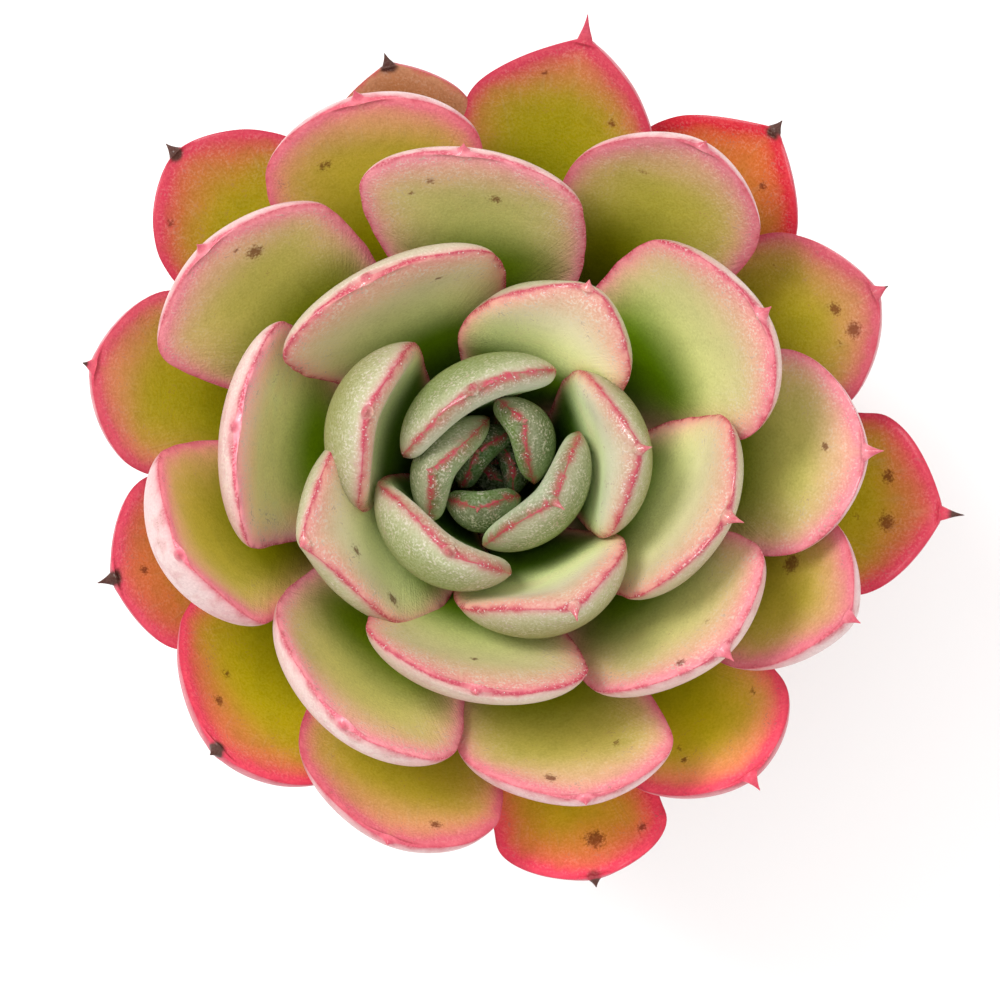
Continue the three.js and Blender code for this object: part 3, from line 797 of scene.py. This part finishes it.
def potting_soil(look):
    """Dark crumbly soil, with lighter dry crumbs on it."""
    f = Finish("potting_soil")
    place = f.place()
    crumbs = f.cells(place, 0.7)
    fine = f.noise(place, 2.6, 4.0, 0.75)
    mottle = f.noise(place, 0.25, 3.0, 0.6)
    color = f.mix(mottle.step(0.35, 0.65), look.soil_color, shade(look.soil_color, 1.9))
    color = f.mix(crumbs.step(0.25, 0.55) * 0.6, color, shade(look.soil_color, 0.35))
    color = f.mix(fine.step(0.58, 0.7) * 0.5, color, tint("#6b523b"))
    normal = f.bump(1 - crumbs, 0.9, 0.8)
    normal = f.bump(fine, 0.3, 0.9, normal)
    f.set(Base_Color=color, Roughness=0.88 + 0.1 * fine, Normal=normal, Specular_IOR_Level=0.25)
    return f.material


def grain_finish(name, light, dark, pore_depth):
    """A porous mineral or bark crumb between these two colours."""
    f = Finish(name)
    place = f.place()
    mottle = f.noise(place, 0.45, 3.0, 0.6)
    pores = f.cells(place, 2.4).step(0.3, 0.08)
    color = f.mix(mottle.step(0.3, 0.7), light, dark)
    color = f.mix(pores * 0.5, color, shade(dark, 0.45))
    normal = f.bump(1 - pores, pore_depth, 0.8)
    f.set(Base_Color=color, Roughness=0.8 + 0.15 * mottle, Normal=normal)
    return f.material


def stem_bark(look):
    """Corky stem, green brown above and grey brown below, with fibres along it and leaf scars round it."""
    f = Finish("stem_bark")
    place = f.place()
    height = f.height()
    fibres = f.noise(f.vectors("MULTIPLY", place, (1.0, 1.0, 0.16)), 1.3, 4.0, 0.65)
    mottle = f.noise(place, 0.5, 3.0, 0.6)
    color = f.mix(height.step(SOIL_LEVEL + 6, SOIL_LEVEL + 20), look.bark_color, tint("#7f8248"))
    color = f.mix(fibres.step(0.4, 0.7) * 0.6, color, shade(look.bark_color, 0.5))
    color = f.mix(mottle.step(0.55, 0.75) * 0.4, color, tint("#b8a988"))
    color = f.mix(Signal(f, f.attribute("scar")["Fac"]) * 0.65, color, tint("#4a3826"))
    normal = f.bump(fibres, 0.4, 0.8)
    f.set(Base_Color=color, Roughness=0.72 + 0.2 * fibres, Normal=normal, Specular_IOR_Level=0.3)
    return f.material


def slots_by_node():
    return {row["node"]: row["material_slot"] for row in frame["record"]["subparts"]}


def color_property(name, description, text, strength=1 / STUDIO_LEVEL):
    """A colour that is set as it looks; its strength allows for the studio's bright lights."""
    return bpy.props.FloatVectorProperty(
        name=name,
        description=description,
        subtype="COLOR",
        size=3,
        min=0,
        max=1,
        default=tuple(strength * c for c in tint(text)),
    )


def length_property(name, description, millimetres):
    default = millimetres * MM
    return bpy.props.FloatProperty(name=name, description=description, unit="LENGTH", min=0, default=default)


class EcheveriaLook(bpy.types.PropertyGroup):
    """Sizes and colours of the leaves' margins, the pot, the soil, the stem and the stage."""

    margin_line: length_property("Margin line", "Width of the dark red line on a leaf's margin", 0.32)
    margin_color: color_property("Margin line colour", "Colour of the line on a leaf's margin", "#d02c50")
    point_color: color_property("Point colour", "Colour of a leaf's living point", "#e0506a")
    dried_color: color_property("Dried point colour", "Colour of a point that has dried", "#4a2a24", 1)
    scar_color: color_property("Scar colour", "Colour of the brown marks on the leaves", "#7a3220")
    powder_color: color_property("Powder colour", "Colour of the wax powder", "#e6ead0")
    bead_radius: length_property("Bead radius", "Radius of the wet beads near the young margins", 0.085)
    bead_spacing: length_property("Bead spacing", "Distance between the wet beads", 1.4)
    clay_color: color_property("Clay colour", "Colour of the pot's clay", "#a85f3c", 0.8)
    bloom_color: color_property("Bloom colour", "Colour of the chalky bloom on the clay", "#c9ad98", 0.85)
    turning_depth: length_property("Turning lines", "Depth of the lines left by turning the pot", 0.12)
    soil_color: color_property("Soil colour", "Colour of damp potting soil", "#3a2a1e", 1)
    soil_roughness: length_property("Soil unevenness", "Height of the lumps in the soil's top", 0.9)
    grain_size: length_property("Grain size", "Middle size of the grains on the soil", 1.7)
    grains_per_area: bpy.props.FloatProperty(
        name="Grain density",
        description="Grains of each kind on a square metre of the soil",
        min=0,
        default=90000,
    )
    bark_color: color_property("Bark colour", "Colour of the old stem", "#8c7a55", 1)
    camera_height: bpy.props.FloatProperty(
        name="Camera height",
        description="How far above the soil the camera looks down from",
        default=0.7,
        unit="LENGTH",
    )
    pixels_per_slope: bpy.props.FloatProperty(
        name="Image scale",
        description="Pixels of the thousand-pixel image for each unit of size over distance",
        default=5822.5,
    )


def stand_for(piece, *nodes, slot):
    """Makes a finished piece ride on the plant's one body, in place of these nodes. The slot is not used."""
    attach(piece, "root")
    if nodes:
        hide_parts(*nodes)


class ECHEVERIA_OT_leaves(bpy.types.Operator):
    """Replace each leaf node and the bud by finished leaves"""

    bl_idname = "echeveria.leaves"
    bl_label = "Finish the leaves"

    def execute(self, context):
        look = context.scene.echeveria_look
        skin = leaf_skin(look)
        slot = slots_by_node()
        for order in range(LAST_BUD_LEAF + 1, OLDEST + 1):
            node = f"leaf_{order - LAST_BUD_LEAF:02d}"
            piece = leaf_mesh([order], f"finished_{node}", look)
            piece.data.materials.append(skin)
            stand_for(piece, node, slot=slot[node])
        bud = leaf_mesh(range(YOUNGEST, LAST_BUD_LEAF + 1), "finished_bud", look)
        bud.data.materials.append(skin)
        stand_for(bud, "centre_bud", slot=slot["centre_bud"])
        return {"FINISHED"}


def lathe(name, profile, sides, shift=(0.0, 0.0), warp=None, values=None):
    """A round piece from (radius, height) points, from axis to axis or round a hole; warp moves each ring."""
    turns = 2 * np.pi * np.arange(sides) / sides
    solid = profile[0][0] < 1e-6
    rings = []
    for radius, height in profile[1:-1] if solid else profile:
        ring = np.stack([radius * np.cos(turns), radius * np.sin(turns), np.full(sides, height)], -1)
        rings.append(warp(ring) if warp else ring)
    points = np.concatenate(rings)
    if solid:
        points = np.vstack([points, rings[0].mean(0), rings[-1].mean(0)])
    points = points + np.array([*shift, 0.0])
    faces = ring_faces(len(rings), sides, closed=not solid)
    return make_object(name, points, faces, values(points) if values else None)


def finer(profile, step, corner=0.0, closed=False):
    """The same profile with rounded corners, and its long sides divided into steps of at most this length."""
    points = [np.array(p, float) for p in profile]
    rounded = []
    count = len(points)
    for i, p in enumerate(points):
        before, after = points[i - 1], points[(i + 1) % count]
        if not closed and i in (0, count - 1):
            rounded.append(p)
            continue
        cut = min(corner, 0.45 * np.linalg.norm(p - before), 0.45 * np.linalg.norm(after - p))
        start = p + (before - p) / max(np.linalg.norm(before - p), 1e-9) * cut
        end = p + (after - p) / max(np.linalg.norm(after - p), 1e-9) * cut
        for t in np.linspace(0, 1, 5):
            rounded.append((1 - t) ** 2 * start + 2 * t * (1 - t) * p + t**2 * end)
    if closed:
        rounded.append(rounded[0])
    fine = [rounded[0]]
    for a, b in zip(rounded[:-1], rounded[1:]):
        parts = max(1, math.ceil(np.linalg.norm(b - a) / step))
        fine += [a + (b - a) * k / parts for k in range(1, parts + 1)]
    return fine[:-1] if closed else fine


def side_radius(height):
    """The pot's outside below its rim band."""
    return POT_FOOT_RADIUS + (POT_RIM_RADIUS - BAND_STEP - POT_FOOT_RADIUS) * (height / POT_HEIGHT)


def inner_radius(height):
    """The pot's inside, where the clay is half a millimetre thinner than at the band."""
    return side_radius(height) - POT_WALL + 0.5


class ECHEVERIA_OT_pot(bpy.types.Operator):
    """Turn the clay pot"""

    bl_idname = "echeveria.pot"
    bl_label = "Turn the pot"

    def execute(self, context):
        look = context.scene.echeveria_look
        depth = look.turning_depth / MM
        band_foot = POT_HEIGHT - BAND_HEIGHT
        profile = [
            (DRAIN_RADIUS, 0),
            (POT_FOOT_RADIUS, 0),
            (side_radius(band_foot), band_foot),
            (POT_RIM_RADIUS, band_foot),
            (POT_RIM_RADIUS, POT_HEIGHT),
            (inner_radius(POT_HEIGHT), POT_HEIGHT),
            (inner_radius(POT_FLOOR), POT_FLOOR),
            (DRAIN_RADIUS, POT_FLOOR),
        ]

        def turning_lines(ring):
            radius, height = float(np.hypot(ring[0, 0], ring[0, 1])), float(ring[0, 2])
            wide = noise.noise(Vector((0.9 * height, 2.0, 0.0)))
            narrow = noise.noise(Vector((2.6 * height, 5.0, 0.0)))
            spread = float(smooth(height, 1, 4)) * depth * (wide + 0.5 * narrow)
            spots = [Vector((1.3 * x, 1.3 * y, 0.02 * height)) for x, y, _ in ring / radius]
            sway = np.array([noise.noise(spot) for spot in spots])
            out = ring.copy()
            out[:, :2] *= (1 + (spread + 0.12 * sway * smooth(height, 0, 6)) / radius)[:, None]
            return out

        fine_profile = finer(profile, POT_STEP, POT_CORNER, closed=True)
        pot = lathe("clay_pot", fine_profile, POT_SIDES, warp=turning_lines)
        pot.data.materials.append(terracotta(look))
        stand_for(pot, "pot", slot="clay")
        return {"FINISHED"}


def soil_lump(x, y):
    """Unevenness of the soil's top, from -1 to 1."""
    wide = noise.noise(Vector((0.09 * x, 0.09 * y, 3.0)))
    lumps = noise.noise(Vector((0.3 * x, 0.3 * y, 7.0)))
    crumbs = noise.noise(Vector((0.9 * x, 0.9 * y, 11.0)))
    return 0.9 * wide + 0.6 * lumps + 0.35 * crumbs


class ECHEVERIA_OT_soil(bpy.types.Operator):
    """Fill the pot with soil and scatter grains over it"""

    bl_idname = "echeveria.soil"
    bl_label = "Fill the pot with soil"

    def execute(self, context):
        look = context.scene.echeveria_look
        lump = look.soil_roughness / MM
        edge_level = SOIL_LEVEL - SOIL_DOME
        rim = inner_radius(edge_level) - 0.1
        low = POT_FLOOR + 0.3
        top = [(rim * r, SOIL_LEVEL - SOIL_DOME * r**2) for r in np.linspace(1, 0, SOIL_RINGS)]
        side = finer([(0, low), (inner_radius(low) - 0.3, low), (rim, edge_level - 1.5)], 4)

        def uneven(ring):
            out = ring.copy()
            if ring[0, 2] > edge_level - 1:
                out[:, 2] += [lump * soil_lump(x, y) for x, y, _ in ring]
            return out

        soil = lathe("potting_soil", [*side, *top], SOIL_SIDES, warp=uneven)
        soil.data.materials.append(potting_soil(look))
        # Each kind of grain: its name, light and dark colours, pores' depth, size and flatness
        kinds = (
            ("perlite", tint("#e9e4d8"), tint("#c9bfae"), 0.25, 0.85, 0.8),
            ("pumice", tint("#b79f86"), tint("#7a5c48"), 0.35, 1.1, 1.0),
            ("bark_crumb", tint("#6a4a30"), tint("#38261a"), 0.2, 1.25, 0.45),
        )
        for seed, (name, light, dark, pore_depth, size, flat) in enumerate(kinds, 1):
            material = grain_finish(f"{name}_finish", light, dark, pore_depth)
            grains = scattered(soil, f"{name}_grains", material, look, seed, size, flat)
            stand_for(grains, slot="soil")
        stand_for(soil, "soil", slot="soil")
        return {"FINISHED"}


class GrowthNodes(Nodes):
    """A Geometry Nodes tree with named inputs."""

    def __init__(self, name, **inputs):
        self.tree = bpy.data.node_groups.new(name, "GeometryNodeTree")
        interface = self.tree.interface
        interface.new_socket("Geometry", in_out="INPUT", socket_type="NodeSocketGeometry")
        self.keys = {}
        for label, kind in inputs.items():
            socket = interface.new_socket(label, in_out="INPUT", socket_type=f"NodeSocket{kind}")
            self.keys[label] = socket.identifier
        interface.new_socket("Geometry", in_out="OUTPUT", socket_type="NodeSocketGeometry")
        self.given = self.tree.nodes.new("NodeGroupInput").outputs

    def upward(self, kind):
        """The Z of what an input node of this kind gives."""
        vector = self.node(kind).outputs[0]
        return self.node("ShaderNodeSeparateXYZ", {}, {0: vector}).outputs[2]

    def exceeds(self, value, limit):
        settings = {"operation": "GREATER_THAN"}
        return self.node("FunctionNodeCompare", settings, {0: value, 1: limit}).outputs[0]

    def product(self, first, second):
        return self.node("ShaderNodeMath", {"operation": "MULTIPLY"}, {0: first, 1: second}).outputs[0]

    def random_share(self, low, high, seed):
        """A number between these two, another for each point."""
        settings = {"data_type": "FLOAT"}
        return self.node("FunctionNodeRandomValue", settings, {2: low, 3: high, "Seed": seed}).outputs[1]

    def strew(self, points, shape, rotation, scale):
        """Ends the tree with this shape on each point, made real and given its material."""
        inputs = {"Points": points, "Instance": shape, "Rotation": rotation, "Scale": scale}
        strewn = self.node("GeometryNodeInstanceOnPoints", {}, inputs)
        real = self.node("GeometryNodeRealizeInstances", {}, {"Geometry": strewn.outputs[0]})
        inputs = {"Geometry": real.outputs[0], "Material": self.given["Material"]}
        finished = self.node("GeometryNodeSetMaterial", {}, inputs)
        self.node("NodeGroupOutput", {}, {0: finished.outputs[0]})

    def result(self, carrier, name, values):
        """A plain mesh object of what the tree makes on this carrier, from these values of its inputs."""
        modifier = carrier.modifiers.new(name, "NODES")
        modifier.node_group = self.tree
        for label, value in values.items():
            modifier[self.keys[label]] = value
        evaluated = carrier.evaluated_get(bpy.context.evaluated_depsgraph_get())
        mesh = bpy.data.meshes.new_from_object(evaluated)
        carrier.modifiers.remove(modifier)
        mesh.name = name
        made = bpy.data.objects.new(name, mesh)
        bpy.context.scene.collection.objects.link(made)
        return made


def scattered(ground, name, material, look, seed, size, flat):
    """Grains of one kind, strewn over the open top of the soil."""
    tree = GrowthNodes(name, Density="Float", Size="Float", Flatness="Float", Seed="Int", Material="Material")
    given = tree.given
    level = tree.exceeds(tree.upward("GeometryNodeInputNormal"), 0.5)
    high = tree.exceeds(tree.upward("GeometryNodeInputPosition"), (SOIL_LEVEL - 6) * MM)
    open_top = tree.node("FunctionNodeBooleanMath", {"operation": "AND"}, {0: level, 1: high})
    inputs = {"Mesh": given["Geometry"], "Selection": open_top.outputs[0]}
    inputs.update({"Density": given["Density"], "Seed": given["Seed"]})
    points = tree.node("GeometryNodeDistributePointsOnFaces", {"distribute_method": "RANDOM"}, inputs)
    lump = tree.node("GeometryNodeMeshIcoSphere", {}, {"Radius": 1.0, "Subdivisions": 2})
    place = {"Vector": tree.node("GeometryNodeInputPosition").outputs[0], "Scale": 1.1}
    color = tree.node("ShaderNodeTexNoise", {"noise_dimensions": "3D"}, place).outputs["Color"]
    shift = tree.vectors("MULTIPLY", tree.vectors("SUBTRACT", color, (0.5,) * 3), (1.5,) * 3)
    grain = tree.node("GeometryNodeSetPosition", {}, {"Geometry": lump.outputs[0], "Offset": shift})
    turn = {"Seed": given["Seed"], "Max": (math.tau,) * 3}
    turn = tree.node("FunctionNodeRandomValue", {"data_type": "FLOAT_VECTOR"}, turn)
    across = tree.product(tree.random_share(0.35, 0.75, 7), given["Size"])
    thick = tree.product(across, given["Flatness"])
    scale = tree.node("ShaderNodeCombineXYZ", {}, {"X": across, "Y": across, "Z": thick})
    tree.strew(points.outputs["Points"], grain.outputs[0], turn.outputs[0], scale.outputs[0])
    values = {
        "Density": look.grains_per_area / size**2,
        "Size": look.grain_size * size,
        "Flatness": flat,
        "Seed": seed,
        "Material": material,
    }
    return tree.result(ground, name, values)


class ECHEVERIA_OT_stem(bpy.types.Operator):
    """Grow the corky stem"""

    bl_idname = "echeveria.stem"
    bl_label = "Grow the stem"

    def execute(self, context):
        look = context.scene.echeveria_look
        leafy = np.linspace(8.5, base_height(LAST_BUD_LEAF) - 1, 70)
        heights = np.concatenate([np.linspace(-ROOTED_DEPTH, 8, 40), leafy])
        profile = [(0, SOIL_LEVEL - ROOTED_DEPTH)]
        for height in heights:
            order = OLDEST - (height - LOWEST_LEAF) / LEAF_RISE
            profile.append((base_radius(min(OLDEST, order - 1)) - LEAF_GAP, SOIL_LEVEL + height))
        profile.append((0, SOIL_LEVEL + heights[-1]))

        def corky(ring):
            out = ring.copy()
            for i, (x, y, z) in enumerate(ring):
                ridge = abs(noise.noise(Vector((0.7 * x, 0.7 * y, 0.12 * z))))
                dent = BARK_RELIEF * ridge + SCAR_RELIEF * scar_band(z)
                out[i, :2] *= 1 - dent / max(1.0, math.hypot(x, y))
            return out

        stem = lathe(
            "corky_stem",
            profile,
            STEM_SIDES,
            shift=(PLANT_X, PLANT_Y),
            warp=corky,
            values=lambda points: {"scar": np.array([scar_band(z) for z in points[:, 2]])},
        )
        stem.data.materials.append(stem_bark(look))
        stand_for(stem, "stem", slot="stem")
        return {"FINISHED"}


def scar_band(height):
    """1 on a ring left by a fallen leaf, 0 between the rings."""
    above = height - SOIL_LEVEL
    from_ring = (above + 0.6) % SCAR_SPACING - SCAR_SPACING / 2
    return math.exp(-(from_ring**2) / 0.05) if above > -1 else 0.0


class ECHEVERIA_OT_beads(bpy.types.Operator):
    """Set the wet beads near the margins of the young leaves"""

    bl_idname = "echeveria.beads"
    bl_label = "Set the margin beads"

    def execute(self, context):
        look = context.scene.echeveria_look
        tree = GrowthNodes(
            "margin_beads", Spacing="Float", Radius="Float", Density="Float", Seed="Int", Material="Material"
        )
        given = tree.given
        wanted = tree.node("GeometryNodeInputNamedAttribute", {"data_type": "FLOAT"}, {"Name": "bead"})
        inputs = {"Mesh": given["Geometry"], "Density Max": given["Density"], "Seed": given["Seed"]}
        inputs.update({"Distance Min": given["Spacing"], "Density Factor": wanted.outputs[0]})
        points = tree.node("GeometryNodeDistributePointsOnFaces", {"distribute_method": "POISSON"}, inputs)
        bead = tree.node("GeometryNodeMeshIcoSphere", {}, {"Radius": given["Radius"], "Subdivisions": 2})
        bead = tree.node("GeometryNodeSetShadeSmooth", {}, {0: bead.outputs[0]})
        places, turn = points.outputs["Points"], points.outputs["Rotation"]
        tree.strew(places, bead.outputs[0], turn, tree.random_share(0.45, 1.2, 3))
        material = bead_skin()
        slot = slots_by_node()
        for order in range(BEADED_LEAVES):
            node = f"leaf_{order - LAST_BUD_LEAF:02d}"
            values = {
                "Spacing": look.bead_spacing * 0.5,
                "Radius": look.bead_radius,
                "Density": 1 / look.bead_spacing**2,
                "Seed": order,
                "Material": material,
            }
            beads = tree.result(bpy.data.objects[f"finished_{node}"], f"beads_{node}", values)
            stand_for(beads, slot=slot[node])
        return {"FINISHED"}


class ECHEVERIA_OT_stage(bpy.types.Operator):
    """Add the pale floor, the soft lights and the camera"""

    bl_idname = "echeveria.stage"
    bl_label = "Set the stage"

    def execute(self, context):
        look = context.scene.echeveria_look
        set_floor()
        set_lights(context.scene)
        set_camera(context.scene, look)
        return {"FINISHED"}


def set_floor():
    corners = [(x * FLOOR_REACH, y * FLOOR_REACH, 0) for x, y in ((-1, -1), (1, -1), (1, 1), (-1, 1))]
    mesh = bpy.data.meshes.new("floor")
    mesh.from_pydata(corners, [], [(0, 1, 2, 3)])
    floor = bpy.data.objects.new("floor", mesh)
    bpy.context.scene.collection.objects.link(floor)
    f = Finish("pale_floor")
    f.set(Base_Color=(0.95, 0.95, 0.95), Roughness=0.9)
    mesh.materials.append(f.material)


def set_lights(scene):
    world = bpy.data.worlds.new("studio")
    scene.world = world
    world.use_nodes = True
    background = world.node_tree.nodes["Background"]
    background.inputs[0].default_value = (1, 1, 1, 1)
    background.inputs[1].default_value = ROOM_LIGHT
    lamp = bpy.data.lights.new("key", "AREA")
    lamp.size = SOFTBOX_SIZE
    lamp.energy = SOFTBOX_POWER
    softbox = bpy.data.objects.new("key", lamp)
    softbox.location = SOFTBOX_PLACE
    aim = Vector(SOFTBOX_AIM) - Vector(SOFTBOX_PLACE)
    softbox.rotation_euler = aim.to_track_quat("-Z", "Y").to_euler()
    scene.collection.objects.link(softbox)


def set_camera(scene, look):
    lens = bpy.data.cameras.new("camera")
    lens.sensor_width = SENSOR_WIDTH
    lens.lens = SENSOR_WIDTH * look.pixels_per_slope / IMAGE_WIDTH
    lens.clip_end = 20
    camera = bpy.data.objects.new("camera", lens)
    camera.location = (CAMERA_X * MM, CAMERA_Y * MM, look.camera_height + SOIL_LEVEL * MM)
    scene.collection.objects.link(camera)
    scene.camera = camera
    scene.view_settings.view_transform = "Standard"


class ECHEVERIA_PT_panel(bpy.types.Panel):
    """Lists the steps that build the plant"""

    bl_idname = "ECHEVERIA_PT_panel"
    bl_label = "Echeveria"
    bl_space_type = "VIEW_3D"
    bl_region_type = "UI"
    bl_category = "Echeveria"

    def draw(self, context):
        for operator in OPERATORS:
            self.layout.operator(operator.bl_idname)


OPERATORS = (
    ECHEVERIA_OT_pot,
    ECHEVERIA_OT_soil,
    ECHEVERIA_OT_stem,
    ECHEVERIA_OT_leaves,
    ECHEVERIA_OT_beads,
    ECHEVERIA_OT_stage,
)
CLASSES = (EcheveriaLook, *OPERATORS, ECHEVERIA_PT_panel)


def register():
    for cls in CLASSES:
        bpy.utils.register_class(cls)
    bpy.types.Scene.echeveria_look = bpy.props.PointerProperty(type=EcheveriaLook)


def unregister():
    del bpy.types.Scene.echeveria_look
    for cls in reversed(CLASSES):
        bpy.utils.unregister_class(cls)


def main():
    register()
    for operator in OPERATORS:
        namespace, step = operator.bl_idname.split(".")
        getattr(getattr(bpy.ops, namespace), step)()


if __name__ == "__main__":
    main()
